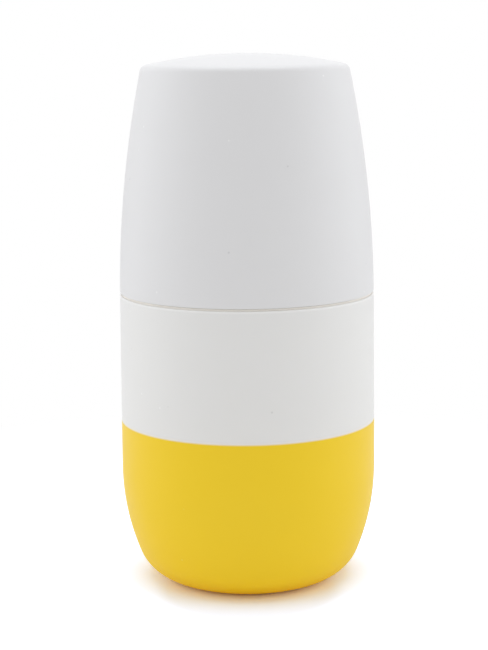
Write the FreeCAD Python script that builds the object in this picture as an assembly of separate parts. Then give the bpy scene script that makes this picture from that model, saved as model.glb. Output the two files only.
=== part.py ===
import FreeCAD, Part
import math
import os

# Roll-on bottle with a screw cap, in millimetres.
# Z is the axis of every piece and the standing ring of the bottle lies on Z = 0.
# The outside follows from the ball: housing, neck, inner cap and cap shell each add a wall and a clearance.

# Roller ball
ball_radius = 14.3
ball_wall = 1.6
ball_clearance = 0.3

# Ball housing, pressed into the neck
ball_rise = 4.8
housing_wall = 1.0
lip_rise = 5.2
lip_thickness = 0.9
collar_wall = 1.5
collar_bulge = 0.45
flange_thickness = 1.5
flange_round = 0.4
plug_length = 9.0
plug_wall = 1.0
plug_lead = 0.6
plug_clearance = 0.3
bead_height = 1.2
bead_spacing = 2.6
bead_count = 2
drain_radius = 8.5
drain_notch_count = 4
drain_notch_width = 3.0
drain_notch_depth = 2.2

# Bottle
neck_wall = 1.5
neck_height = 12.83
neck_root_round = 0.5
shoulder_height = 50.67
shoulder_wall = 1.6
shoulder_edge_round = 0.25
shoulder_step_height = 0.31
shoulder_step_width = 0.3
cavity_round = 2.0
bottle_wall = 1.4
belly_swell = 0.18
flank_radius = 39.6
foot_corner_radius = 7.87
foot_corner_turn = 68.0
standing_ring_width = 2.4
push_up_rise = 1.6

# Coloured coat, let flush into the lower wall of the bottle
coat_height = 28.3
coat_thickness = 0.25
coat_start_turn = 12.0

# Inner cap
thread_room = 1.25
liner_wall = 1.15
liner_clearance = 0.4
liner_stop_gap = 0.3
liner_edge_round = 0.2
crown_draw_in = 2.4
crown_round = 6.0
hem_rise = 0.8
hem_thickness = 1.0
hem_clearance = 0.2

# Seal pad, loose in a ring under the inner cap's ceiling
pad_radius = 8.0
pad_thickness = 1.5
pad_clearance = 0.3
pad_edge = 0.3
pad_ring_wall = 0.9
pad_ring_height = 1.1

# Cap shell
cap_gap = 0.06
cap_wall = 1.6
cap_top_wall = 1.6
cap_headroom = 4.15
cap_taper = 4.32
cap_rim_tilt = 0.8
cap_dome_rise = 2.0
cap_top_round = 0.8
cap_rim_round = 0.15
key_room = 1.41
key_count = 12
key_width = 1.4
key_depth = 0.45
key_clearance = 0.1
prop_radius = 6.0
prop_wall = 1.2

# Sizes that follow from the ones above
seat_radius = ball_radius + ball_clearance
plug_radius = math.sqrt(seat_radius**2 - ball_rise**2) + housing_wall
neck_bore = plug_radius + plug_clearance
neck_radius = neck_bore + neck_wall
liner_bore = neck_radius + thread_room
liner_radius = liner_bore + liner_wall
shell_bore = liner_radius + key_room
cap_radius = shell_bore + cap_wall
body_radius = cap_radius
belly_radius = body_radius + belly_swell

neck_top = shoulder_height + neck_height
ball_height = neck_top + ball_rise
lip_height = ball_height + lip_rise
pad_bottom = ball_height + ball_radius + ball_clearance
liner_ceiling = pad_bottom + pad_thickness
liner_top = liner_ceiling + liner_wall
hem_bottom = shoulder_height + hem_rise
hem_top = hem_bottom + hem_thickness
keyway_bottom = hem_top + key_clearance
cap_rim = shoulder_height + cap_gap
cap_top = liner_top + cap_headroom + cap_top_wall
cap_corner = cap_top - cap_dome_rise
cap_top_radius = cap_radius - cap_taper

foot_turn = math.radians(foot_corner_turn)
belly_height = foot_corner_radius * (1 - math.cos(foot_turn)) + flank_radius * math.cos(foot_turn)
foot_width = foot_corner_radius * math.sin(foot_turn) + flank_radius * (1 - math.sin(foot_turn))
foot_radius = belly_radius - foot_width
push_up_radius = foot_radius - standing_ring_width


def point(radius, height):
    return FreeCAD.Vector(radius, 0, height)


def line(start, end):
    return Part.LineSegment(start, end).toShape()


def arc_about(centre, radius, start_degrees, end_degrees):
    """Arc in the profile plane; 0 degrees points away from the axis and 90 degrees up."""
    angles = [start_degrees, (start_degrees + end_degrees) / 2, end_degrees]
    turns = [math.radians(angle) for angle in angles]
    stops = [centre + point(radius * math.cos(turn), radius * math.sin(turn)) for turn in turns]
    return Part.Arc(*stops).toShape()


def first(edge):
    return edge.valueAt(edge.FirstParameter)


def last(edge):
    return edge.valueAt(edge.LastParameter)


def joined(edges):
    """Closed list of edges: a line is put wherever one edge ends away from the next one's start."""
    closed = []
    for index, edge in enumerate(edges):
        following = edges[(index + 1) % len(edges)]
        closed.append(edge)
        if last(edge).distanceToPoint(first(following)) > 1e-6:
            closed.append(line(last(edge), first(following)))
    return closed


def spin(edges):
    """Solid of revolution about Z from the edges of one profile, in order."""
    face = Part.Face(Part.Wire(joined(edges)))
    return face.revolve(FreeCAD.Vector(0, 0, 0), FreeCAD.Vector(0, 0, 1), 360)


def rounded(corners):
    """Edges of a closed polygon given as (radius, height, round) corners."""
    bends = []
    for index, (radius, height, corner_round) in enumerate(corners):
        before = corners[index - 1]
        after = corners[(index + 1) % len(corners)]
        corner = point(radius, height)
        back = (point(before[0], before[1]) - corner).normalize()
        ahead = (point(after[0], after[1]) - corner).normalize()
        half_turn = back.getAngle(ahead) / 2
        reach = corner_round / math.tan(half_turn)
        depth = corner_round / math.sin(half_turn) - corner_round
        inward = (back + ahead).normalize()
        bends.append((corner + back * reach, corner + inward * depth, corner + ahead * reach))
    edges = []
    for index, (radius, height, corner_round) in enumerate(corners):
        if corner_round > 0:
            edges.append(Part.Arc(*bends[index]).toShape())
        edges.append(line(bends[index][2], bends[(index + 1) % len(bends)][0]))
    return edges


def dome_arc(rise, edge_radius, edge_height):
    """Arc of a shallow dome from the axis out to its edge."""
    radius = (edge_radius**2 + rise**2) / (2 * rise)
    centre = point(0, edge_height + rise - radius)
    edge_angle = math.degrees(math.acos(edge_radius / radius))
    return arc_about(centre, radius, 90, edge_angle)


def turned(edge):
    """The same arc run from its other end."""
    middle = edge.valueAt((edge.FirstParameter + edge.LastParameter) / 2)
    return Part.Arc(last(edge), middle, first(edge)).toShape()


def around(solid, count):
    """Copies of a solid spaced evenly about the axis."""
    copies = []
    for index in range(count):
        copy = solid.copy()
        copy.rotate(FreeCAD.Vector(0, 0, 0), FreeCAD.Vector(0, 0, 1), 360 / count * index)
        copies.append(copy)
    return copies


def radial_bar(inner, outer, width, bottom, top):
    """Upright bar along +X, centred on the XZ plane."""
    corner = FreeCAD.Vector(inner, -width / 2, bottom)
    return Part.makeBox(outer - inner, width, top - bottom, corner)


def ring_edges(solid, radius, height):
    """Round edges of a solid that lie at one radius and height."""
    found = []
    for edge in solid.Edges:
        if not edge.Degenerated and isinstance(edge.Curve, Part.Circle):
            same_height = abs(edge.Curve.Center.z - height) < 1e-4
            same_radius = abs(edge.Curve.Radius - radius) < 1e-4
            if same_height and same_radius:
                found.append(edge)
    return found


def wall_edges(inset, start_turn):
    """Outer wall from the foot to the shoulder, moved inward by inset."""
    foot_end = foot_corner_turn - 90
    corner_centre = point(foot_radius, foot_corner_radius)
    flank_centre = point(belly_radius - flank_radius, belly_height)
    return [
        arc_about(corner_centre, foot_corner_radius - inset, start_turn - 90, foot_end),
        arc_about(flank_centre, flank_radius - inset, foot_end, 0),
    ]


def make_coat():
    """Thin coloured coat that follows the wall; its lower edge stops above the standing ring."""
    outer = wall_edges(0, coat_start_turn)
    inner = wall_edges(coat_thickness, coat_start_turn)
    outer_side = line(point(belly_radius, belly_height), point(body_radius, shoulder_height))
    inner_top = point(body_radius - coat_thickness, shoulder_height)
    inner_side = line(inner_top, point(belly_radius - coat_thickness, belly_height))
    skin = spin(outer + [outer_side, inner_side, turned(inner[1]), turned(inner[0])])
    return skin.common(Part.makeCylinder(2 * belly_radius, coat_height))


def make_bottle(coat):
    """Blow-moulded bottle: pushed-up base, rounded foot, shoulder with a shadow step, and plain neck."""
    cavity_top = shoulder_height - shoulder_wall
    cavity_radius = body_radius - bottle_wall
    step_bottom = shoulder_height - shoulder_step_height
    step_radius = body_radius - shoulder_step_width
    edge_centre = point(body_radius - shoulder_edge_round, step_bottom - shoulder_edge_round)
    root_centre = point(neck_radius + neck_root_round, shoulder_height + neck_root_round)
    inner_centre = point(cavity_radius - cavity_round, cavity_top - cavity_round)
    inner_wall = wall_edges(bottle_wall, 0)
    body = spin([
        dome_arc(push_up_rise, push_up_radius, 0),
        *wall_edges(0, 0),
        arc_about(edge_centre, shoulder_edge_round, 0, 90),
        line(point(step_radius, step_bottom), point(step_radius, shoulder_height)),
        arc_about(root_centre, neck_root_round, 270, 180),
        line(point(neck_radius, neck_top), point(neck_bore, neck_top)),
        line(point(neck_bore, cavity_top), inner_centre + point(0, cavity_round)),
        arc_about(inner_centre, cavity_round, 90, 0),
        turned(inner_wall[1]),
        turned(inner_wall[0]),
        turned(dome_arc(push_up_rise, push_up_radius, bottle_wall)),
    ])
    return body.cut(coat)


def make_ball():
    """Hollow ball."""
    centre = point(0, ball_height)
    return Part.makeSphere(ball_radius, centre).cut(Part.makeSphere(ball_radius - ball_wall, centre))


def make_housing():
    """Fitment that holds the ball: plug with sealing beads, flange, collar with a lip, drained seat."""
    centre = point(0, ball_height)
    cup_radius = seat_radius + housing_wall
    plug_bore = plug_radius - plug_wall
    plug_bottom = neck_top - plug_length
    lip_angle = math.degrees(math.asin(lip_rise / seat_radius))
    lip_inner = point(math.sqrt(seat_radius**2 - lip_rise**2), lip_height)
    lip_outer = lip_inner + point(lip_thickness, 0)
    lip_crest = lip_inner + point(lip_thickness / 2, lip_thickness / 2)
    collar_foot = point(seat_radius + collar_wall, neck_top + flange_thickness)
    collar_middle = (collar_foot + lip_outer) * 0.5 + point(collar_bulge, 0)
    flange_centre = point(neck_radius - flange_round, neck_top + flange_thickness - flange_round)

    beads = []
    for index in range(bead_count):
        bottom = plug_bottom + bead_spacing * (index + 0.5)
        beads.append(line(point(plug_radius, bottom), point(neck_bore, bottom + bead_height / 3)))
        upper_start = point(neck_bore, bottom + bead_height * 2 / 3)
        beads.append(line(upper_start, point(plug_radius, bottom + bead_height)))

    body = spin([
        arc_about(centre, seat_radius, lip_angle, -math.degrees(math.acos(drain_radius / seat_radius))),
        arc_about(centre, cup_radius, -math.degrees(math.acos(drain_radius / cup_radius)),
                  -math.degrees(math.acos(plug_bore / cup_radius))),
        line(point(plug_bore, plug_bottom), point(plug_radius - plug_lead, plug_bottom)),
        line(point(plug_radius - plug_lead, plug_bottom), point(plug_radius, plug_bottom + plug_lead)),
        *beads,
        line(point(plug_radius, neck_top), point(neck_radius, neck_top)),
        arc_about(flange_centre, flange_round, 0, 90),
        Part.Arc(collar_foot, collar_middle, lip_outer).toShape(),
        Part.Arc(lip_outer, lip_crest, lip_inner).toShape(),
    ])
    notch_end = drain_radius + drain_notch_depth
    notch = radial_bar(0, notch_end, drain_notch_width, ball_height - cup_radius, ball_height)
    return body.cut(Part.makeCompound(around(notch, drain_notch_count)))


def make_pad():
    """Soft disc between the ball and the inner cap."""
    disc = Part.makeCylinder(pad_radius, pad_thickness, point(0, pad_bottom))
    return disc.makeChamfer(pad_edge, ring_edges(disc, pad_radius, pad_bottom))


def make_liner():
    """Inner cap: threaded skirt with a hem and keyways, and a rounded crown with a ring for the pad."""
    skirt_bottom = shoulder_height + liner_stop_gap
    crown_bore = neck_radius + liner_clearance
    crown_foot = neck_top + liner_bore - crown_bore
    crown_top_bore = crown_bore - crown_draw_in
    ring_bore = pad_radius + pad_clearance
    ring_bottom = liner_ceiling - pad_ring_height
    hem_radius = shell_bore - hem_clearance
    body = spin(rounded([
        (liner_bore, skirt_bottom, liner_edge_round),
        (liner_bore, neck_top, 0),
        (crown_bore, crown_foot, 0),
        (crown_top_bore, liner_ceiling, crown_round - liner_wall),
        (ring_bore + pad_ring_wall, liner_ceiling, 0),
        (ring_bore + pad_ring_wall, ring_bottom, liner_edge_round),
        (ring_bore, ring_bottom, liner_edge_round),
        (ring_bore, liner_ceiling, 0),
        (0, liner_ceiling, 0),
        (0, liner_top, 0),
        (crown_top_bore + liner_wall, liner_top, crown_round),
        (crown_bore + liner_wall, crown_foot + liner_wall, 0),
        (liner_radius, crown_foot, 0),
        (liner_radius, hem_top, 0),
        (hem_radius, hem_top, liner_edge_round),
        (hem_radius, hem_bottom, liner_edge_round),
        (liner_radius, hem_bottom, 0),
        (liner_radius, skirt_bottom, liner_edge_round),
    ]))
    keyway_floor = liner_radius - key_depth - key_clearance
    keyway_width = key_width + 2 * key_clearance
    keyway = radial_bar(keyway_floor, shell_bore, keyway_width, keyway_bottom, liner_top)
    return body.cut(Part.makeCompound(around(keyway, key_count)))


def make_shell():
    """Outer cap: tapering curved side, shallow dome, inner keys and a ring that bears on the inner cap."""
    side_height = cap_corner - cap_rim
    rim_tilt = math.radians(cap_rim_tilt)
    half_turn = math.atan2(cap_taper, side_height) - rim_tilt
    side_radius = math.hypot(side_height, cap_taper) / (2 * math.sin(half_turn))
    rim_reach = point(math.cos(rim_tilt), math.sin(rim_tilt)) * side_radius
    side_centre = point(cap_radius, cap_rim) - rim_reach
    side_end = cap_rim_tilt + math.degrees(2 * half_turn)
    dome = dome_arc(cap_dome_rise, cap_top_radius, cap_corner)
    solid_cap = spin([arc_about(side_centre, side_radius, cap_rim_tilt, side_end), turned(dome),
                      line(point(0, cap_top), point(0, cap_rim))])
    solid_cap = solid_cap.makeFillet(cap_top_round, ring_edges(solid_cap, cap_top_radius, cap_corner))
    solid_cap = solid_cap.makeFillet(cap_rim_round, ring_edges(solid_cap, cap_radius, cap_rim))

    inner_radius = side_radius - cap_wall
    inner_start = math.degrees(math.asin((cap_rim - side_centre.z) / inner_radius))
    inner_end = math.degrees(math.asin((cap_top - side_centre.z) / inner_radius))
    inner_side = arc_about(side_centre, inner_radius, inner_start, inner_end)
    hollow = spin([inner_side, line(point(0, cap_top), point(0, cap_rim))])
    hollow = hollow.common(Part.makeSphere(dome.Curve.Radius - cap_top_wall, dome.Curve.Center))

    key_tip = liner_radius - key_depth
    key_root = shell_bore + cap_wall / 4
    key = radial_bar(key_tip, key_root, key_width, keyway_bottom + key_clearance, neck_top)
    prop_foot = point(0, liner_top)
    prop_length = cap_headroom + cap_top_wall / 2
    prop = Part.makeCylinder(prop_radius + prop_wall, prop_length, prop_foot)
    prop = prop.cut(Part.makeCylinder(prop_radius, prop_length, prop_foot))
    return solid_cap.cut(hollow).fuse([*around(key, key_count), prop]).removeSplitter()


coat_solid = make_coat()
pieces = {
    "bottle": make_bottle(coat_solid),
    "base_coat": coat_solid,
    "ball_housing": make_housing(),
    "roller_ball": make_ball(),
    "seal_pad": make_pad(),
    "cap_liner": make_liner(),
    "cap_shell": make_shell(),
}

os.makedirs("parts", exist_ok=True)
for name, shape in pieces.items():
    print(name, "solids", len(shape.Solids), "valid", shape.isValid(), "volume", round(shape.Volume, 1))
    shape.exportStep(f"parts/{name}.step")
print("height", round(cap_top, 2), "body radius", round(body_radius, 2))
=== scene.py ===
import math

import bpy
from mathutils import Euler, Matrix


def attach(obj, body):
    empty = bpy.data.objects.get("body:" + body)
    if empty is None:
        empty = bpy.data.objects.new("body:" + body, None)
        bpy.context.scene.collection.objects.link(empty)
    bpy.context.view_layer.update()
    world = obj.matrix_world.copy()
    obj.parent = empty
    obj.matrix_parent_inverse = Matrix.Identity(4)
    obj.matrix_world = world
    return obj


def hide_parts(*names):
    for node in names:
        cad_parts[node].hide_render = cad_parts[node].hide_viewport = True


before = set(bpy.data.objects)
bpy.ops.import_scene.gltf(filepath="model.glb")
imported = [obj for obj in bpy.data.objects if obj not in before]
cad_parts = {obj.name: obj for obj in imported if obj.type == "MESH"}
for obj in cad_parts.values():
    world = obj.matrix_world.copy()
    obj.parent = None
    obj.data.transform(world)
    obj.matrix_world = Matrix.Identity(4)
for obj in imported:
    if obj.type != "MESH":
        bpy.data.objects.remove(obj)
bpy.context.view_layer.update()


# Bottle: blow-moulded in ivory polyethylene and sprayed white up to the edge of its shoulder.
# The neck keeps a screw thread and the mould's parting lines, over the low step under the cap.
# The base is pushed up inside its standing ring, with the ridge where the mould pinched it shut.
mm = 0.001

body_radius = 22.0
belly_radius = 22.18
flank_radius = 39.6
foot_corner = 7.87
foot_turn = 68.0
standing_ring = 2.4
push_up_rise = 1.6
bottle_wall = 1.4
cavity_round = 2.0
coat_height = 28.3
coat_thickness = 0.25
coat_start = 12.0
shoulder_height = 50.67
shoulder_wall = 1.6
shoulder_round = 0.25
step_height = 0.31
step_width = 0.3
neck_radius = 16.59
neck_bore = 15.09
neck_top = 63.5
neck_lip_round = 0.25
neck_root_round = 0.5
parting_width = 0.25
parting_rise = 0.07
pinch_length = 12.0
pinch_width = 0.4
pinch_drop = 0.4

thread_pitch = 3.6
thread_turns = 2.1
thread_width = 1.5
thread_depth = 0.85
thread_bottom = 54.0

lacquer_white = (0.858, 0.846, 0.827)
# Painted highlight: the white is made lighter along the shoulder's rounded edge under the cap.
painted_edge_highlight = (0.915, 0.903, 0.885)
lacquer_dust = (0.93, 0.92, 0.905)
# Painted light: the bare step under the cap is paler than the neck's ivory, as if lit through the
# resin.
step_ivory_painted_light = (0.915, 0.873, 0.81)
neck_ivory = (0.78, 0.735, 0.65)
coat_yellow = (0.985, 0.672, 0.006)
edge_highlight_depth = 0.5
spray_end = (-0.04, 0.02)
neck_start = (-0.05, -0.02)
overspray_height = 0.35
feather_below = 0.28
feather_above = 0.16

turn_sine = math.sin(math.radians(foot_turn))
turn_cosine = math.cos(math.radians(foot_turn))
belly_height = foot_corner * (1 - turn_cosine) + flank_radius * turn_cosine
foot_radius = belly_radius - foot_corner * turn_sine - flank_radius * (1 - turn_sine)
push_up_radius = foot_radius - standing_ring
inner_top = shoulder_height - shoulder_wall
inner_radius = body_radius - bottle_wall
step_bottom = shoulder_height - step_height
step_radius = body_radius - step_width


def arc(centre, radius, start, end, steps):
    """Points of an arc in the profile plane; 0 degrees points off the axis and 90 degrees up."""
    points = []
    for step in range(steps + 1):
        turn = math.radians(start + (end - start) * step / steps)
        points.append((centre[0] + radius * math.cos(turn), centre[1] + radius * math.sin(turn)))
    return points


def dome(rise, edge_radius, edge_height, steps):
    """Points of a shallow dome from the axis out to its edge."""
    radius = (edge_radius**2 + rise**2) / (2 * rise)
    edge_angle = math.degrees(math.acos(edge_radius / radius))
    return arc((0, edge_height + rise - radius), radius, 90, edge_angle, steps)


def wall(inset, start):
    """Points of the bottle's side from the foot up to the belly, moved inward by inset."""
    foot_end = foot_turn - 90
    foot_centre = (foot_radius, foot_corner)
    flank_centre = (belly_radius - flank_radius, belly_height)
    foot = arc(foot_centre, foot_corner - inset, start - 90, foot_end, steps=24)
    flank = arc(flank_centre, flank_radius - inset, foot_end, 0, steps=24)
    return foot + flank[1:]


def upper_wall_radius(height):
    """Outer radius of the straight wall between the belly and the shoulder."""
    rise = (height - belly_height) / (step_bottom - shoulder_round - belly_height)
    return belly_radius + (body_radius - belly_radius) * rise


def add_node(tree, kind, links=None, values=None, settings=None):
    """Node with its properties set and its input sockets linked or given values."""
    node = tree.nodes.new(kind)
    for label, value in (settings or {}).items():
        setattr(node, label, value)
    for label, value in (values or {}).items():
        node.inputs[label].default_value = value
    for label, source in (links or {}).items():
        tree.links.new(source, node.inputs[label])
    return node


def maths(tree, operation, first, second=0.0):
    """Output of a Math node on sockets or plain numbers."""
    node = add_node(tree, "ShaderNodeMath", None, None, {"operation": operation})
    for index, source in enumerate((first, second)):
        if isinstance(source, (int, float)):
            node.inputs[index].default_value = source
        else:
            tree.links.new(source, node.inputs[index])
    return node.outputs[0]


def ramp(tree, source, limits, results=(0.0, 1.0), smooth=False):
    """Output of a Map Range node, which goes from one result to the other between the limits."""
    node = add_node(tree, "ShaderNodeMapRange", {"Value": source},
                    {"From Min": limits[0], "From Max": limits[1],
                     "To Min": results[0], "To Max": results[1]},
                    {"interpolation_type": "SMOOTHSTEP" if smooth else "LINEAR"})
    return node.outputs[0]


def new_tree(name, inputs):
    """Geometry node tree with a geometry input and output and the named inputs."""
    tree = bpy.data.node_groups.new(name, "GeometryNodeTree")
    tree.interface.new_socket("Geometry", in_out="INPUT", socket_type="NodeSocketGeometry")
    tree.interface.new_socket("Geometry", in_out="OUTPUT", socket_type="NodeSocketGeometry")
    for label, kind in inputs.items():
        tree.interface.new_socket(label, in_out="INPUT", socket_type="NodeSocket" + kind)
    return tree, tree.nodes.new("NodeGroupInput").outputs


def end_tree(tree, geometry, finish):
    """Closes a tree with real geometry in one finish."""
    real = add_node(tree, "GeometryNodeRealizeInstances", {"Geometry": geometry})
    shown = add_node(tree, "GeometryNodeSetMaterial",
                     {"Geometry": real.outputs[0], "Material": finish})
    add_node(tree, "NodeGroupOutput", {0: shown.outputs[0]})


def make_turning_tree():
    """Turns an outline in the XZ plane about Z.

    It is swept round a circle, set back by the circle's radius and merged on the axis.
    """
    merge_distance = 1e-6
    tree, given = new_tree("turned_piece", {
        "Steps": "Int", "Path Radius": "Float", "Finish": "Material"})
    outline = add_node(tree, "GeometryNodeMeshToCurve", {"Mesh": given["Geometry"]})
    set_back = add_node(tree, "ShaderNodeCombineXYZ",
                        {"X": maths(tree, "MULTIPLY", given["Path Radius"], -1.0)})
    flat = add_node(tree, "GeometryNodeTransform",
                    {"Geometry": outline.outputs[0], "Translation": set_back.outputs[0]},
                    {"Rotation": Euler((math.pi / 2, 0, 0))})
    circle = add_node(tree, "GeometryNodeCurvePrimitiveCircle",
                      {"Resolution": given["Steps"], "Radius": given["Path Radius"]})
    upright = add_node(tree, "GeometryNodeSetCurveNormal", {"Curve": circle.outputs[0]},
                       None, {"mode": "Z_UP"})
    sweep = add_node(tree, "GeometryNodeCurveToMesh",
                     {"Curve": upright.outputs[0], "Profile Curve": flat.outputs[0]})
    outward = add_node(tree, "GeometryNodeFlipFaces", {"Mesh": sweep.outputs[0]})
    merged = add_node(tree, "GeometryNodeMergeByDistance", {"Geometry": outward.outputs[0]},
                      {"Distance": merge_distance})
    end_tree(tree, merged.outputs[0], given["Finish"])
    return tree


def make_thread_tree():
    """Joins a screw thread to a piece; a negative depth stands inward.

    The ridge is drawn for a depth and a width of 1, rooted in the wall, and its ends run out.
    """
    steps_per_turn = 112
    run_out = 0.12
    end_size = 0.06
    ridge_height = 1.3
    ridge_root = 0.3
    ridge_foot = 1.12
    ridge_crest = 0.42
    ridge_round = 0.12
    round_steps = 3
    tree, given = new_tree("screw_thread", {
        "Radius": "Float", "Bottom": "Float", "Pitch": "Float", "Turns": "Float",
        "Depth": "Float", "Width": "Float", "Finish": "Material"})
    spiral = add_node(tree, "GeometryNodeCurveSpiral",
                      {"Rotations": given["Turns"],
                       "Start Radius": given["Radius"], "End Radius": given["Radius"],
                       "Height": maths(tree, "MULTIPLY", given["Pitch"], given["Turns"])},
                      {"Resolution": steps_per_turn, "Reverse": True})
    lift = add_node(tree, "ShaderNodeCombineXYZ", {"Z": given["Bottom"]})
    raised = add_node(tree, "GeometryNodeTransform",
                      {"Geometry": spiral.outputs[0], "Translation": lift.outputs[0]})
    upright = add_node(tree, "GeometryNodeSetCurveNormal", {"Curve": raised.outputs[0]},
                       None, {"mode": "Z_UP"})
    along = add_node(tree, "GeometryNodeSplineParameter").outputs["Factor"]
    start_share = ramp(tree, along, (0, run_out), (end_size, 1.0), smooth=True)
    end_share = ramp(tree, along, (1, 1 - run_out), (end_size, 1.0), smooth=True)
    ridge = add_node(tree, "GeometryNodeCurvePrimitiveQuadrilateral", None,
                     {"Height": ridge_height, "Bottom Width": ridge_foot,
                      "Top Width": ridge_crest, "Offset": 0.0}, {"mode": "TRAPEZOID"})
    softened = add_node(tree, "GeometryNodeFilletCurve", {"Curve": ridge.outputs[0]},
                        {"Count": round_steps, "Radius": ridge_round, "Limit Radius": True},
                        {"mode": "POLY"})
    rooted = add_node(tree, "GeometryNodeTransform", {"Geometry": softened.outputs[0]},
                      {"Translation": (ridge_height / 2 - ridge_root, 0, 0),
                       "Rotation": Euler((0, 0, -math.pi / 2))})
    size = add_node(tree, "ShaderNodeCombineXYZ",
                    {"X": given["Depth"], "Y": given["Width"]}, {"Z": 1.0})
    profile = add_node(tree, "GeometryNodeTransform",
                       {"Geometry": rooted.outputs[0], "Scale": size.outputs[0]})
    sweep = add_node(tree, "GeometryNodeCurveToMesh",
                     {"Curve": upright.outputs[0], "Profile Curve": profile.outputs[0],
                      "Scale": maths(tree, "MINIMUM", start_share, end_share)},
                     {"Fill Caps": True})
    inward = add_node(tree, "FunctionNodeCompare", {"A": given["Depth"]}, {"B": 0.0},
                      {"operation": "LESS_THAN"})
    outside_out = add_node(tree, "GeometryNodeFlipFaces",
                           {"Mesh": sweep.outputs[0], "Selection": inward.outputs[0]})
    joined = add_node(tree, "GeometryNodeMeshBoolean", {"Mesh 2": given["Geometry"]},
                      None, {"operation": "UNION", "solver": "MANIFOLD"})
    tree.links.new(outside_out.outputs[0], joined.inputs["Mesh 2"])
    end_tree(tree, joined.outputs[0], given["Finish"])
    return tree


def make_bar_tree(name, operation):
    """Bars spaced evenly about the axis, joined to a piece or cut out of it."""
    tree, given = new_tree(name, {
        "Count": "Int", "Size": "Vector", "Radius": "Float", "Height": "Float",
        "Finish": "Material"})
    index = add_node(tree, "GeometryNodeInputIndex").outputs[0]
    turn = maths(tree, "DIVIDE", maths(tree, "MULTIPLY", index, math.tau), given["Count"])
    place = add_node(tree, "ShaderNodeCombineXYZ", {
        "X": maths(tree, "MULTIPLY", given["Radius"], maths(tree, "COSINE", turn)),
        "Y": maths(tree, "MULTIPLY", given["Radius"], maths(tree, "SINE", turn)),
        "Z": given["Height"]})
    points = add_node(tree, "GeometryNodePoints",
                      {"Count": given["Count"], "Position": place.outputs[0]})
    facing = add_node(tree, "ShaderNodeCombineXYZ", {"Z": turn})
    bar = add_node(tree, "GeometryNodeMeshCube", {"Size": given["Size"]})
    set_out = add_node(tree, "GeometryNodeInstanceOnPoints",
                       {"Points": points.outputs[0], "Instance": bar.outputs[0],
                        "Rotation": facing.outputs[0]})
    real = add_node(tree, "GeometryNodeRealizeInstances", {"Geometry": set_out.outputs[0]})
    joined = add_node(tree, "GeometryNodeMeshBoolean", None, None,
                      {"operation": operation, "solver": "MANIFOLD"})
    body_socket = joined.inputs["Mesh 1" if operation == "DIFFERENCE" else "Mesh 2"]
    tree.links.new(given["Geometry"], body_socket)
    tree.links.new(real.outputs[0], joined.inputs["Mesh 2"])
    end_tree(tree, joined.outputs[0], given["Finish"])
    return tree


turned_piece = make_turning_tree()
screw_thread = make_thread_tree()
bars_added = make_bar_tree("bars_added", "UNION")
bars_cut = make_bar_tree("bars_cut", "DIFFERENCE")


def give_tree(piece, tree, values):
    """Adds a node tree to a piece, with values for its named inputs."""
    modifier = piece.modifiers.new(tree.name, "NODES")
    modifier.node_group = tree
    for item in tree.interface.items_tree:
        if item.item_type == "SOCKET" and item.in_out == "INPUT" and item.name in values:
            modifier[item.identifier] = values[item.name]


def turn_outline(name, outline, finish):
    """New piece turned from (radius, height) points, run with the solid on the left.

    An outline that starts and ends on the axis stays open there, and any other is closed.
    """
    around_steps = 224
    path_radius = 10.0
    axis_limit = 0.001
    mesh = bpy.data.meshes.new(name)
    corners = [(radius * mm, 0, height * mm) for radius, height in outline]
    edges = [(index, index + 1) for index in range(len(corners) - 1)]
    if corners[0][0] > axis_limit * mm:
        edges.append((len(corners) - 1, 0))
    mesh.from_pydata(corners, edges, [])
    piece = bpy.data.objects.new(name, mesh)
    bpy.context.scene.collection.objects.link(piece)
    give_tree(piece, turned_piece, {
        "Steps": around_steps, "Path Radius": path_radius * mm, "Finish": finish})
    return piece


def add_thread(piece, radius, bottom, depth, finish):
    """Screw thread on a wall of the given radius, from its lower end up."""
    give_tree(piece, screw_thread, {
        "Radius": radius * mm, "Bottom": bottom * mm, "Pitch": thread_pitch * mm,
        "Turns": thread_turns, "Depth": depth * mm, "Width": thread_width * mm,
        "Finish": finish})


def add_bars(piece, tree, count, reach, width, span, finish):
    """Bars from an inner to an outer radius and between two heights."""
    give_tree(piece, tree, {
        "Count": count, "Finish": finish,
        "Size": ((reach[1] - reach[0]) * mm, width * mm, (span[1] - span[0]) * mm),
        "Radius": (reach[0] + reach[1]) / 2 * mm, "Height": (span[0] + span[1]) / 2 * mm})


def settle(piece):
    """Turns what the node trees make into the piece's plain mesh, with its crisp edges kept."""
    sharp_angle = math.radians(32)
    bpy.context.view_layer.update()
    shown = piece.evaluated_get(bpy.context.evaluated_depsgraph_get())
    mesh = bpy.data.meshes.new_from_object(shown)
    piece.modifiers.clear()
    piece.data = mesh
    mesh.shade_smooth()
    mesh.set_sharp_from_angle(angle=sharp_angle)
    return piece


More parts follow.
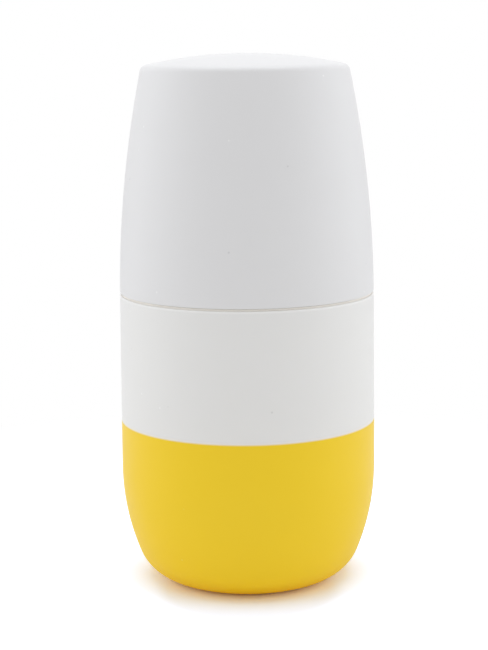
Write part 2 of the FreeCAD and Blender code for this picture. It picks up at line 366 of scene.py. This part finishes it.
def make_skin_group():
    """Fine grain, slow mottling, rare dark specks and rare pale dust, in the piece's own space."""
    speck_size = (0.03, 0.07)
    group = bpy.data.node_groups.new("moulded_skin", "ShaderNodeTree")
    for label in ("Grain Scale", "Mottle Scale", "Speck Scale", "Speck Share"):
        group.interface.new_socket(label, in_out="INPUT", socket_type="NodeSocketFloat")
    for label in ("Grain", "Mottle", "Speck", "Dust"):
        group.interface.new_socket(label, in_out="OUTPUT", socket_type="NodeSocketFloat")
    given = group.nodes.new("NodeGroupInput").outputs
    place = add_node(group, "ShaderNodeTexCoord").outputs["Object"]
    grain = add_node(group, "ShaderNodeTexNoise",
                     {"Vector": place, "Scale": given["Grain Scale"]},
                     {"Detail": 2.0, "Roughness": 0.6})
    mottle = add_node(group, "ShaderNodeTexNoise",
                      {"Vector": place, "Scale": given["Mottle Scale"]},
                      {"Detail": 3.0, "Roughness": 0.55})
    cells = add_node(group, "ShaderNodeTexVoronoi",
                     {"Vector": place, "Scale": given["Speck Scale"]})
    near = ramp(group, cells.outputs["Distance"], speck_size, (1.0, 0.0))
    chance = add_node(group, "ShaderNodeSeparateColor", {"Color": cells.outputs["Color"]})
    results = {"Grain": grain.outputs[0], "Mottle": mottle.outputs[0]}
    for label, channel in (("Speck", "Red"), ("Dust", "Green")):
        chosen = maths(group, "LESS_THAN", chance.outputs[channel], given["Speck Share"])
        results[label] = maths(group, "MULTIPLY", near, chosen)
    add_node(group, "NodeGroupOutput", results)
    return group


moulded_skin = make_skin_group()


def mix_colours(tree, share, first, second, blend="MIX"):
    """Output of a colour mix between two sockets or plain colours."""
    colour_inputs = (6, 7)
    colour_output = 2
    node = add_node(tree, "ShaderNodeMix", {0: share},
                    None, {"data_type": "RGBA", "blend_type": blend})
    for index, source in zip(colour_inputs, (first, second)):
        if isinstance(source, (tuple, list)):
            node.inputs[index].default_value = (*source, 1)
        else:
            tree.links.new(source, node.inputs[index])
    return node.outputs[colour_output]


def start_plastic(name, gloss_range, grain_scale, grain_depth):
    """Plastic with an uneven gloss and a fine grain; its colour is given afterwards."""
    material = bpy.data.materials.new(name)
    material.use_nodes = True
    tree = material.node_tree
    shader = tree.nodes["Principled BSDF"]
    skin = add_node(tree, "ShaderNodeGroup", None,
                    {"Grain Scale": grain_scale, "Mottle Scale": 120.0,
                     "Speck Scale": 300.0, "Speck Share": 0.2}, {"node_tree": moulded_skin})
    gloss = ramp(tree, skin.outputs["Mottle"], (0.0, 1.0), gloss_range)
    relief = add_node(tree, "ShaderNodeBump", {"Height": skin.outputs["Grain"]},
                      {"Strength": 1.0, "Distance": grain_depth})
    tree.links.new(gloss, shader.inputs["Roughness"])
    tree.links.new(relief.outputs[0], shader.inputs["Normal"])
    return material, skin


def colour_plastic(material, skin, colour, mottle_shade=0.985, speck_shade=0.86, dust=None):
    """Gives a plastic its colour, darker in patches and specks, and paler where dust is asked."""
    tree = material.node_tree
    shown = mix_colours(tree, skin.outputs["Mottle"], colour, [mottle_shade] * 3, "MULTIPLY")
    shown = mix_colours(tree, skin.outputs["Speck"], shown, [speck_shade] * 3, "MULTIPLY")
    if dust:
        shown = mix_colours(tree, skin.outputs["Dust"], shown, dust)
    tree.links.new(shown, tree.nodes["Principled BSDF"].inputs["Base Color"])


def own_height(tree):
    """Height of each spot of a piece in millimetres, in the piece's own space."""
    place = add_node(tree, "ShaderNodeTexCoord").outputs["Object"]
    height = add_node(tree, "ShaderNodeSeparateXYZ", {"Vector": place}).outputs["Z"]
    return maths(tree, "DIVIDE", height, mm)


def feather_share(tree, height):
    """Share of white across the soft upper edge of the sprayed yellow."""
    limits = (coat_height - feather_below, coat_height + feather_above)
    return ramp(tree, height, limits, smooth=True)


satin_finish = {"gloss_range": (0.40, 0.50), "grain_scale": 2600.0, "grain_depth": 6.0e-6}
white_lacquer, lacquer_skin = start_plastic("white_lacquer", **satin_finish)
lacquer_tree = white_lacquer.node_tree
level = own_height(lacquer_tree)

# Painted highlight: lighter white towards the rounded edge of the shoulder.
edge_highlight_share = ramp(lacquer_tree, level, (step_bottom - edge_highlight_depth, step_bottom - shoulder_round))
highlighted_white = mix_colours(lacquer_tree, edge_highlight_share, lacquer_white, painted_edge_highlight)
over_coat = maths(lacquer_tree, "GREATER_THAN", level, coat_height - feather_below)
mist = maths(lacquer_tree, "SUBTRACT", over_coat, feather_share(lacquer_tree, level))
misted_white = mix_colours(lacquer_tree, mist, highlighted_white, coat_yellow)
overspray = ramp(lacquer_tree, level, (overspray_height, overspray_height / 3))
sprayed_colour = mix_colours(lacquer_tree, overspray, misted_white, coat_yellow)
on_neck = ramp(lacquer_tree, level, [shoulder_height + offset for offset in neck_start])
# Painted light on the step, with the neck's own ivory above it.
bare_resin_and_painted_light = mix_colours(lacquer_tree, on_neck, step_ivory_painted_light, neck_ivory)
above_spray = ramp(lacquer_tree, level, [step_bottom + offset for offset in spray_end])
bottle_colour = mix_colours(lacquer_tree, above_spray, sprayed_colour, bare_resin_and_painted_light)
colour_plastic(white_lacquer, lacquer_skin, bottle_colour, dust=lacquer_dust)

coat_edge_radius = upper_wall_radius(coat_height)
shoulder_centre = (body_radius - shoulder_round, step_bottom - shoulder_round)
neck_root_centre = (neck_radius + neck_root_round, shoulder_height + neck_root_round)
neck_lip_centre = (neck_radius - neck_lip_round, neck_top - neck_lip_round)
cavity_centre = (inner_radius - cavity_round, inner_top - cavity_round)
bottle_outline = (
    dome(push_up_rise, push_up_radius, 0, steps=16)
    + arc((foot_radius, foot_corner), foot_corner, -90, coat_start - 90, steps=6)
    + wall(coat_thickness, coat_start)
    + [(coat_edge_radius - coat_thickness, coat_height), (coat_edge_radius, coat_height)]
    + arc(shoulder_centre, shoulder_round, 0, 90, steps=8)
    + [(step_radius, step_bottom), (step_radius, shoulder_height)]
    + arc(neck_root_centre, neck_root_round, 270, 180, steps=6)
    + arc(neck_lip_centre, neck_lip_round, 0, 90, steps=5)
    + [(neck_bore, neck_top), (neck_bore, inner_top)]
    + arc(cavity_centre, cavity_round, 90, 0, steps=8)
    + wall(bottle_wall, 0)[::-1]
    + dome(push_up_rise, push_up_radius, bottle_wall, steps=16)[::-1]
)
bottle = turn_outline("bottle_body", bottle_outline, white_lacquer)
add_thread(bottle, neck_radius, thread_bottom, thread_depth, white_lacquer)
add_bars(bottle, bars_added, 2, (neck_bore + parting_width, neck_radius + parting_rise),
         parting_width, (shoulder_height - shoulder_wall / 2, neck_top - neck_lip_round),
         white_lacquer)
add_bars(bottle, bars_added, 1, (-pinch_length / 2, pinch_length / 2), pinch_width,
         (push_up_rise - pinch_drop, push_up_rise + bottle_wall / 2), white_lacquer)
settle(bottle)
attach(bottle, "bottle")
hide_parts("bottle")


# Colour coat: a yellow lacquer sprayed over the lower wall against a mask, and let flush into it.
# Its lower edge stops just above the standing ring, which only a mist of it reaches.
coat_specular = 0.40
coat_dust = (0.99, 0.75, 0.09)

yellow_lacquer, coat_skin = start_plastic("yellow_lacquer", **satin_finish)
coat_tree = yellow_lacquer.node_tree
coat_tree.nodes["Principled BSDF"].inputs["Specular IOR Level"].default_value = coat_specular
thinned = feather_share(coat_tree, own_height(coat_tree))
feathered_yellow = mix_colours(coat_tree, thinned, coat_yellow, lacquer_white)
colour_plastic(yellow_lacquer, coat_skin, feathered_yellow, dust=coat_dust)

coat_outline = (
    wall(0, coat_start)
    + [(coat_edge_radius, coat_height), (coat_edge_radius - coat_thickness, coat_height)]
    + wall(coat_thickness, coat_start)[::-1]
)
coat = settle(turn_outline("colour_coat", coat_outline, yellow_lacquer))
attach(coat, "bottle")
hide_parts("base_coat")


# Ball housing: one soft moulding of natural polyethylene, pressed into the neck to its flange.
# Two beads seal it in the bore and four notches feed the seat.
# The thin lip above the ball's middle snaps over the ball.
ball_radius = 14.3
ball_height = 68.3
seat_radius = 14.6
housing_wall = 1.0
drain_radius = 8.5
drain_count = 4
drain_width = 3.0
drain_depth = 2.2
drain_overcut = 1.0
plug_radius = 14.79
plug_wall = 1.0
plug_bottom = 54.5
plug_lead = 0.6
bead_bottoms = (55.8, 58.4)
bead_height = 1.2
flange_thickness = 1.5
flange_round = 0.4
collar_wall = 1.5
collar_bulge = 0.45
lip_rise = 5.2
lip_thickness = 0.9
natural_resin = (0.80, 0.79, 0.765)


def bearing(centre, spot):
    """Direction in degrees from a centre to a spot in the profile plane."""
    return math.degrees(math.atan2(spot[1] - centre[1], spot[0] - centre[0]))


def short_turn(turn):
    """A turn in degrees, taken the short way round."""
    return (turn + 180) % 360 - 180


def arc_through(first, middle, last, steps):
    """Points of the arc through three points."""
    rises = (middle[1] - last[1], last[1] - first[1], first[1] - middle[1])
    runs = (last[0] - middle[0], first[0] - last[0], middle[0] - first[0])
    spots = (first, middle, last)
    squares = [spot[0]**2 + spot[1]**2 for spot in spots]
    across = 2 * sum(spot[0] * rise for spot, rise in zip(spots, rises))
    centre = (sum(square * rise for square, rise in zip(squares, rises)) / across,
              sum(square * run for square, run in zip(squares, runs)) / across)
    start = bearing(centre, first)
    halfway = bearing(centre, middle)
    turn = short_turn(halfway - start) + short_turn(bearing(centre, last) - halfway)
    return arc(centre, math.dist(centre, first), start, start + turn, steps)


def under_ball(radius, reach):
    """Direction from the ball's centre down to a circle of the given reach on a sphere round it."""
    return -math.degrees(math.acos(reach / radius))


natural_plastic, natural_skin = start_plastic(
    "natural_polyethylene", gloss_range=(0.30, 0.42), grain_scale=1800.0, grain_depth=1.0e-6)
colour_plastic(natural_plastic, natural_skin, natural_resin, mottle_shade=0.95, speck_shade=0.8)

ball_centre = (0, ball_height)
cup_radius = seat_radius + housing_wall
plug_bore = plug_radius - plug_wall
flange_top = neck_top + flange_thickness
lip_height = ball_height + lip_rise
lip_turn = math.degrees(math.asin(lip_rise / seat_radius))
lip_inner = (math.sqrt(seat_radius**2 - lip_rise**2), lip_height)
lip_crest = (lip_inner[0] + lip_thickness / 2, lip_height + lip_thickness / 2)
lip_outer = (lip_inner[0] + lip_thickness, lip_height)
collar_foot = (seat_radius + collar_wall, flange_top)
collar_middle = ((collar_foot[0] + lip_outer[0]) / 2 + collar_bulge,
                 (collar_foot[1] + lip_outer[1]) / 2)
flange_centre = (neck_radius - flange_round, flange_top - flange_round)
bead_outline = []
for bead_bottom in bead_bottoms:
    bead_outline += arc_through((plug_radius, bead_bottom),
                                (neck_bore, bead_bottom + bead_height / 2),
                                (plug_radius, bead_bottom + bead_height), steps=6)
housing_outline = (
    arc(ball_centre, seat_radius, lip_turn, under_ball(seat_radius, drain_radius), steps=40)
    + arc(ball_centre, cup_radius, under_ball(cup_radius, drain_radius),
          under_ball(cup_radius, plug_bore), steps=16)
    + [(plug_bore, plug_bottom), (plug_radius - plug_lead, plug_bottom),
       (plug_radius, plug_bottom + plug_lead)]
    + bead_outline
    + [(plug_radius, neck_top), (neck_radius, neck_top)]
    + arc(flange_centre, flange_round, 0, 90, steps=6)
    + arc_through(collar_foot, collar_middle, lip_outer, steps=20)
    + arc_through(lip_outer, lip_crest, lip_inner, steps=8)[1:-1]
)
housing = turn_outline("ball_socket", housing_outline, natural_plastic)
add_bars(housing, bars_cut, drain_count, (0, drain_radius + drain_depth), drain_width,
         (ball_height - cup_radius - drain_overcut, ball_height), natural_plastic)
settle(housing)
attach(housing, "bottle")
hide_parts("ball_housing")


# Ball: two white polypropylene halves welded and ground round, snapped into the socket.
# The weld stays as a hairline round its middle, which the socket hides until the ball rolls.
weld_depth = 0.03
weld_turn = 0.25
ball_white = (0.80, 0.80, 0.79)

polished_plastic, polished_skin = start_plastic(
    "polished_polypropylene", gloss_range=(0.14, 0.22), grain_scale=900.0, grain_depth=4.0e-7)
colour_plastic(polished_plastic, polished_skin, ball_white, speck_shade=0.85)

ball_outline = (
    arc(ball_centre, ball_radius, -90, -weld_turn, steps=56)
    + [(ball_radius - weld_depth, ball_height)]
    + arc(ball_centre, ball_radius, weld_turn, 90, steps=56)
)
ball = settle(turn_outline("rolling_ball", ball_outline, polished_plastic))
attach(ball, "ball")
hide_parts("roller_ball")


# Seal pad: a disc stamped from soft foam, loose in a ring under the inner cap's ceiling.
# The top of the ball has pressed a shallow dish into its underside.
pad_radius = 8.0
pad_bottom = 82.9
pad_top = 84.4
pad_edge = 0.3
pad_edge_turn = 60.0
dish_radius = 6.0
dish_depth = 0.25
foam_white = (0.76, 0.75, 0.72)

pad_foam, foam_skin = start_plastic(
    "soft_foam", gloss_range=(0.75, 0.95), grain_scale=1500.0, grain_depth=3.0e-5)
colour_plastic(pad_foam, foam_skin, foam_white, mottle_shade=0.92, speck_shade=0.8)

pad_edge_centre = (pad_radius - pad_edge, pad_bottom + pad_edge)
pad_outline = (
    dome(dish_depth, dish_radius, pad_bottom, steps=12)
    + [(pad_radius - pad_edge, pad_bottom)]
    + arc(pad_edge_centre, pad_edge, -pad_edge_turn, 0, steps=5)
    + [(pad_radius, pad_top), (0, pad_top)]
)
pad = settle(turn_outline("foam_pad", pad_outline, pad_foam))
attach(pad, "pad")
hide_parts("seal_pad")


# Inner cap: natural resin, moulded with the screw thread inside and a ring that keeps the pad.
# Its hem and twelve keyways hold the outer cap, which is pushed over it.
liner_bore = 17.84
liner_radius = 18.99
liner_wall = 1.15
liner_clearance = 0.4
liner_edge = 0.2
skirt_bottom = 50.97
crown_draw_in = 2.4
crown_round = 6.0
liner_ceiling = 84.4
liner_top = 85.55
pad_ring_bore = 8.3
pad_ring_wall = 0.9
pad_ring_height = 1.1
shell_bore = 20.40
hem_radius = 20.2
hem_bottom = 51.47
hem_top = 52.47
key_count = 12
key_width = 1.4
key_depth = 0.45
key_clearance = 0.1


def rounded(corners, steps):
    """Points of a closed outline given as (radius, height, round) corners."""
    points = []
    for index, (radius, height, corner_round) in enumerate(corners):
        if corner_round == 0:
            points.append((radius, height))
            continue
        back = bearing((radius, height), corners[index - 1])
        ahead = bearing((radius, height), corners[(index + 1) % len(corners)])
        opening = short_turn(ahead - back)
        half = math.radians(abs(opening) / 2)
        middle = math.radians(back + opening / 2)
        far = corner_round / math.sin(half)
        centre = (radius + far * math.cos(middle), height + far * math.sin(middle))
        side = 90 if opening > 0 else -90
        sweep = short_turn(opening + 2 * side)
        points += arc(centre, corner_round, back - side, back - side + sweep, steps)
    return points


crown_bore = neck_radius + liner_clearance
crown_foot = neck_top + liner_bore - crown_bore
crown_top_bore = crown_bore - crown_draw_in
pad_ring_outer = pad_ring_bore + pad_ring_wall
pad_ring_bottom = liner_ceiling - pad_ring_height
keyway_bottom = hem_top + key_clearance
cap_thread_bottom = thread_bottom - thread_pitch / 2
liner_outline = rounded([
    (0, liner_ceiling, 0),
    (pad_ring_bore, liner_ceiling, 0),
    (pad_ring_bore, pad_ring_bottom, liner_edge),
    (pad_ring_outer, pad_ring_bottom, liner_edge),
    (pad_ring_outer, liner_ceiling, 0),
    (crown_top_bore, liner_ceiling, crown_round - liner_wall),
    (crown_bore, crown_foot, 0),
    (liner_bore, neck_top, 0),
    (liner_bore, skirt_bottom, liner_edge),
    (liner_radius, skirt_bottom, liner_edge),
    (liner_radius, hem_bottom, 0),
    (hem_radius, hem_bottom, liner_edge),
    (hem_radius, hem_top, liner_edge),
    (liner_radius, hem_top, 0),
    (liner_radius, crown_foot, 0),
    (crown_bore + liner_wall, crown_foot + liner_wall, 0),
    (crown_top_bore + liner_wall, liner_top, crown_round),
    (0, liner_top, 0),
], steps=8)
liner = turn_outline("inner_cap", liner_outline, natural_plastic)
add_bars(liner, bars_cut, key_count, (liner_radius - key_depth - key_clearance, shell_bore),
         key_width + 2 * key_clearance, (keyway_bottom, liner_top), natural_plastic)
add_thread(liner, liner_bore, cap_thread_bottom, -thread_depth, natural_plastic)
settle(liner)
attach(liner, "cap")
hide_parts("cap_liner")


# Outer cap: white polypropylene with a fine satin finish, moulded whole and pushed over the inner.
# The side leans in on a long curve to a soft rounded edge and a shallow domed top.
# Inside are the keys that turn the inner cap and a ring that bears on its crown.
cap_rim = 50.73
cap_corner = 89.3
cap_top = 91.3
cap_taper = 4.32
cap_rim_tilt = 0.8
cap_wall = 1.6
cap_top_wall = 1.6
cap_rim_round = 0.15
cap_top_round = 1.4
prop_radius = 6.0
prop_wall = 1.2
cap_satin = (0.816, 0.806, 0.807)
cap_dust = (0.91, 0.90, 0.895)


def circle_meeting(first_centre, first_radius, second_centre, second_radius):
    """Meeting point of two circles of the profile plane that lies outside the axis and highest."""
    run = second_centre[0] - first_centre[0]
    rise = second_centre[1] - first_centre[1]
    apart = math.hypot(run, rise)
    along = (first_radius**2 - second_radius**2 + apart**2) / (2 * apart)
    across = math.sqrt(first_radius**2 - along**2)
    middle = (first_centre[0] + along * run / apart, first_centre[1] + along * rise / apart)
    ends = [(middle[0] - across * rise / apart, middle[1] + across * run / apart),
            (middle[0] + across * rise / apart, middle[1] - across * run / apart)]
    return max(ends, key=lambda end: (end[0] > 0, end[1]))


satin_plastic, satin_skin = start_plastic("satin_polypropylene", **satin_finish)
colour_plastic(satin_plastic, satin_skin, cap_satin, dust=cap_dust)

side_rise = cap_corner - cap_rim
rim_slope = math.radians(cap_rim_tilt)
half_turn = math.atan2(cap_taper, side_rise) - rim_slope
side_radius = math.hypot(side_rise, cap_taper) / (2 * math.sin(half_turn))
side_centre = (body_radius - side_radius * math.cos(rim_slope),
               cap_rim - side_radius * math.sin(rim_slope))
dome_edge = body_radius - cap_taper
dome_rise = cap_top - cap_corner
dome_radius = (dome_edge**2 + dome_rise**2) / (2 * dome_rise)
dome_centre = (0, cap_top - dome_radius)
inner_side = side_radius - cap_wall
inner_dome = dome_radius - cap_top_wall
inner_corner = circle_meeting(side_centre, inner_side, dome_centre, inner_dome)
corner_centre = circle_meeting(side_centre, side_radius - cap_top_round,
                               dome_centre, dome_radius - cap_top_round)
rim_level = cap_rim + cap_rim_round
rim_reach = math.sqrt((side_radius - cap_rim_round)**2 - (rim_level - side_centre[1])**2)
rim_centre = (side_centre[0] + rim_reach, rim_level)
rim_turn = bearing(side_centre, rim_centre)
side_turn = bearing(side_centre, corner_centre)
dome_turn = bearing(dome_centre, corner_centre)
inner_rim_turn = math.degrees(math.asin((cap_rim - side_centre[1]) / inner_side))
inner_side_turn = bearing(side_centre, inner_corner)
inner_dome_turn = bearing(dome_centre, inner_corner)
prop_turn, prop_outer_turn = (math.degrees(math.acos(radius / inner_dome))
                              for radius in (prop_radius, prop_radius + prop_wall))
shell_outline = (
    arc(dome_centre, inner_dome, 90, prop_turn, steps=10)
    + [(prop_radius, liner_top), (prop_radius + prop_wall, liner_top)]
    + arc(dome_centre, inner_dome, prop_outer_turn, inner_dome_turn, steps=14)
    + arc(side_centre, inner_side, inner_side_turn, inner_rim_turn, steps=24)[1:]
    + arc(rim_centre, cap_rim_round, -90, rim_turn, steps=8)
    + arc(side_centre, side_radius, rim_turn, side_turn, steps=40)[1:]
    + arc(corner_centre, cap_top_round, side_turn, dome_turn, steps=12)[1:]
    + arc(dome_centre, dome_radius, dome_turn, 90, steps=40)[1:]
)
shell = turn_outline("outer_cap", shell_outline, satin_plastic)
add_bars(shell, bars_added, key_count, (liner_radius - key_depth, shell_bore + cap_wall / 4),
         key_width, (keyway_bottom + key_clearance, neck_top), satin_plastic)
settle(shell)
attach(shell, "cap")
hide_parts("cap_shell")


# Floor: a wide sheet of white paper that keeps the object's soft shadow.
# To the camera it is overexposed, as in a product photograph, and fades to plain white further off.
# Seen from below it is clear and lets the room light the base, so that the base shows.
floor_half = 2000.0
floor_level = -0.02
floor_white = (0.95, 0.95, 0.95)
# Painted light: near the foot the paper gives back more warm light than white paper can.
painted_bounce_light = (1.25, 1.0, 0.6)
bounce_fade = (0, 14.8, 20.5)
white_fade = (0, 50.0, 130.0)
# Painted light and shade: rings of colour warm and lighten the shadow at the foot and darken it
# further out.
painted_contact_light = (2.05, 1.50, 1.12)
painted_shadow_stages = (
    ((1.25, 1.28, 1.43), (0, 12.3, 14.8)),
    ((1.10, 1.185, 1.46), (0, 14.8, 20.5)),
    ((1.22, 1.38, 1.86), (-12.0, 13.0, 17.0)),
    ((1.21, 1.34, 1.78), (-12.0, 17.5, 26.5)),
)
first_crossing = 0.5

floor_mesh = bpy.data.meshes.new("floor")
floor_corners = [(side * floor_half * mm, depth * floor_half * mm, floor_level * mm)
                 for side, depth in ((-1, -1), (1, -1), (1, 1), (-1, 1))]
floor_mesh.from_pydata(floor_corners, [], [(0, 1, 2, 3)])
floor = bpy.data.objects.new("floor", floor_mesh)
bpy.context.scene.collection.objects.link(floor)
floor_paper = bpy.data.materials.new("white_paper")
floor_mesh.materials.append(floor_paper)
floor_paper.use_nodes = True
paper_tree = floor_paper.node_tree
paper_tree.nodes.clear()
paper_rays = add_node(paper_tree, "ShaderNodeLightPath").outputs
paper_place = add_node(paper_tree, "ShaderNodeTexCoord").outputs["Object"]


def paper_fade(centre_depth, start, end):
    """Share that grows with the distance from a spot of the floor on the object's middle line."""
    reach = add_node(paper_tree, "ShaderNodeVectorMath", {0: paper_place},
                     {1: (0, centre_depth * mm, 0)}, {"operation": "DISTANCE"})
    return ramp(paper_tree, reach.outputs["Value"], (start * mm, end * mm), smooth=True)


# The camera sees the paper overexposed, with painted light and shade in rings round the foot.
overexposed = painted_contact_light
for painted_stage_tint, stage_fade in painted_shadow_stages:
    overexposed = mix_colours(paper_tree, paper_fade(*stage_fade), overexposed, painted_stage_tint)
# Painted bounce light near the foot, and plain paper further off.
paper_with_painted_bounce = mix_colours(paper_tree, paper_fade(*bounce_fade), painted_bounce_light, floor_white)
paper_colour = mix_colours(paper_tree, paper_rays["Is Camera Ray"], paper_with_painted_bounce, overexposed)
paper = add_node(paper_tree, "ShaderNodeBsdfDiffuse", {"Color": paper_colour})
plain_white = add_node(paper_tree, "ShaderNodeEmission",
                       None, {"Color": (1, 1, 1, 1), "Strength": 1.0})
far_off = maths(paper_tree, "MULTIPLY", paper_fade(*white_fade), paper_rays["Is Camera Ray"])
paper_mix = add_node(paper_tree, "ShaderNodeMixShader",
                     {0: far_off, 1: paper.outputs[0], 2: plain_white.outputs[0]})
clear = add_node(paper_tree, "ShaderNodeBsdfTransparent")
seen_below = add_node(paper_tree, "ShaderNodeNewGeometry").outputs["Backfacing"]
came_through = maths(paper_tree, "GREATER_THAN", paper_rays["Transparent Depth"], first_crossing)
one_sided = add_node(paper_tree, "ShaderNodeMixShader",
                     {0: maths(paper_tree, "MAXIMUM", seen_below, came_through),
                      1: paper_mix.outputs[0], 2: clear.outputs[0]})
add_node(paper_tree, "ShaderNodeOutputMaterial", {"Surface": one_sided.outputs[0]})


# Light: a large soft panel on each side and one overhead, in a pale room.
# The room lights the object dimly, and reads as white to the camera and in reflections.
panel_cool = (0.935, 0.965, 1.0)
side_place = (550.0, 60.0, 160.0)
side_tilt = 85
side_size = (600.0, 700.0)
side_power = 1.11
top_place = (0.0, 50.0, 750.0)
top_size = (700.0, 700.0)
top_power = 2.88
room_level = 0.52


def hang_panel(name, place, tilt, size, power):
    """Soft panel that faces down, tilted about the line from front to back."""
    lamp = bpy.data.lights.new(name, "AREA")
    lamp.shape = "RECTANGLE"
    lamp.size = size[0] * mm
    lamp.size_y = size[1] * mm
    lamp.energy = power
    lamp.color = panel_cool
    holder = bpy.data.objects.new(name, lamp)
    holder.location = [offset * mm for offset in place]
    holder.rotation_euler = Euler((0, math.radians(tilt), 0))
    bpy.context.scene.collection.objects.link(holder)


for panel_name, side in (("left_panel", -1), ("right_panel", 1)):
    hang_panel(panel_name, (side * side_place[0], *side_place[1:]), side * side_tilt,
               side_size, side_power)
hang_panel("top_panel", top_place, 0, top_size, top_power)

world = bpy.data.worlds.new("pale_room")
bpy.context.scene.world = world
world.use_nodes = True
room = world.node_tree
room.nodes.clear()
rays = add_node(room, "ShaderNodeLightPath").outputs
seen_white = maths(room, "MAXIMUM", rays["Is Camera Ray"], rays["Is Glossy Ray"])
seen_white = maths(room, "MAXIMUM", seen_white, rays["Is Transmission Ray"])
dim_room = add_node(room, "ShaderNodeBackground",
                    None, {"Color": (1, 1, 1, 1), "Strength": room_level})
white_room = add_node(room, "ShaderNodeBackground",
                      None, {"Color": (1, 1, 1, 1), "Strength": 1.0})
room_mix = add_node(room, "ShaderNodeMixShader",
                    {0: seen_white, 1: dim_room.outputs[0], 2: white_room.outputs[0]})
add_node(room, "ShaderNodeOutputWorld", {"Surface": room_mix.outputs[0]})
bpy.context.scene.view_settings.view_transform = "Standard"


# Camera: a long lens about 30 cm in front of the bottle and a little above its cap.
# It is tilted down on the bottle and rolled by half a degree, as in the photograph.
camera_place = (-0.55, -295.0, 95.02)
camera_drop = 9.73
camera_roll = -0.544
camera_lens = 95.08
camera_sensor = 36

camera = bpy.data.cameras.new("camera")
camera.lens = camera_lens
camera.sensor_width = camera_sensor
camera_stand = bpy.data.objects.new("camera", camera)
camera_stand.location = [offset * mm for offset in camera_place]
camera_stand.rotation_mode = "ZYX"
camera_stand.rotation_euler = Euler(
    (math.radians(90 - camera_drop), 0, math.radians(camera_roll)), "ZYX")
bpy.context.scene.collection.objects.link(camera_stand)
bpy.context.scene.camera = camera_stand
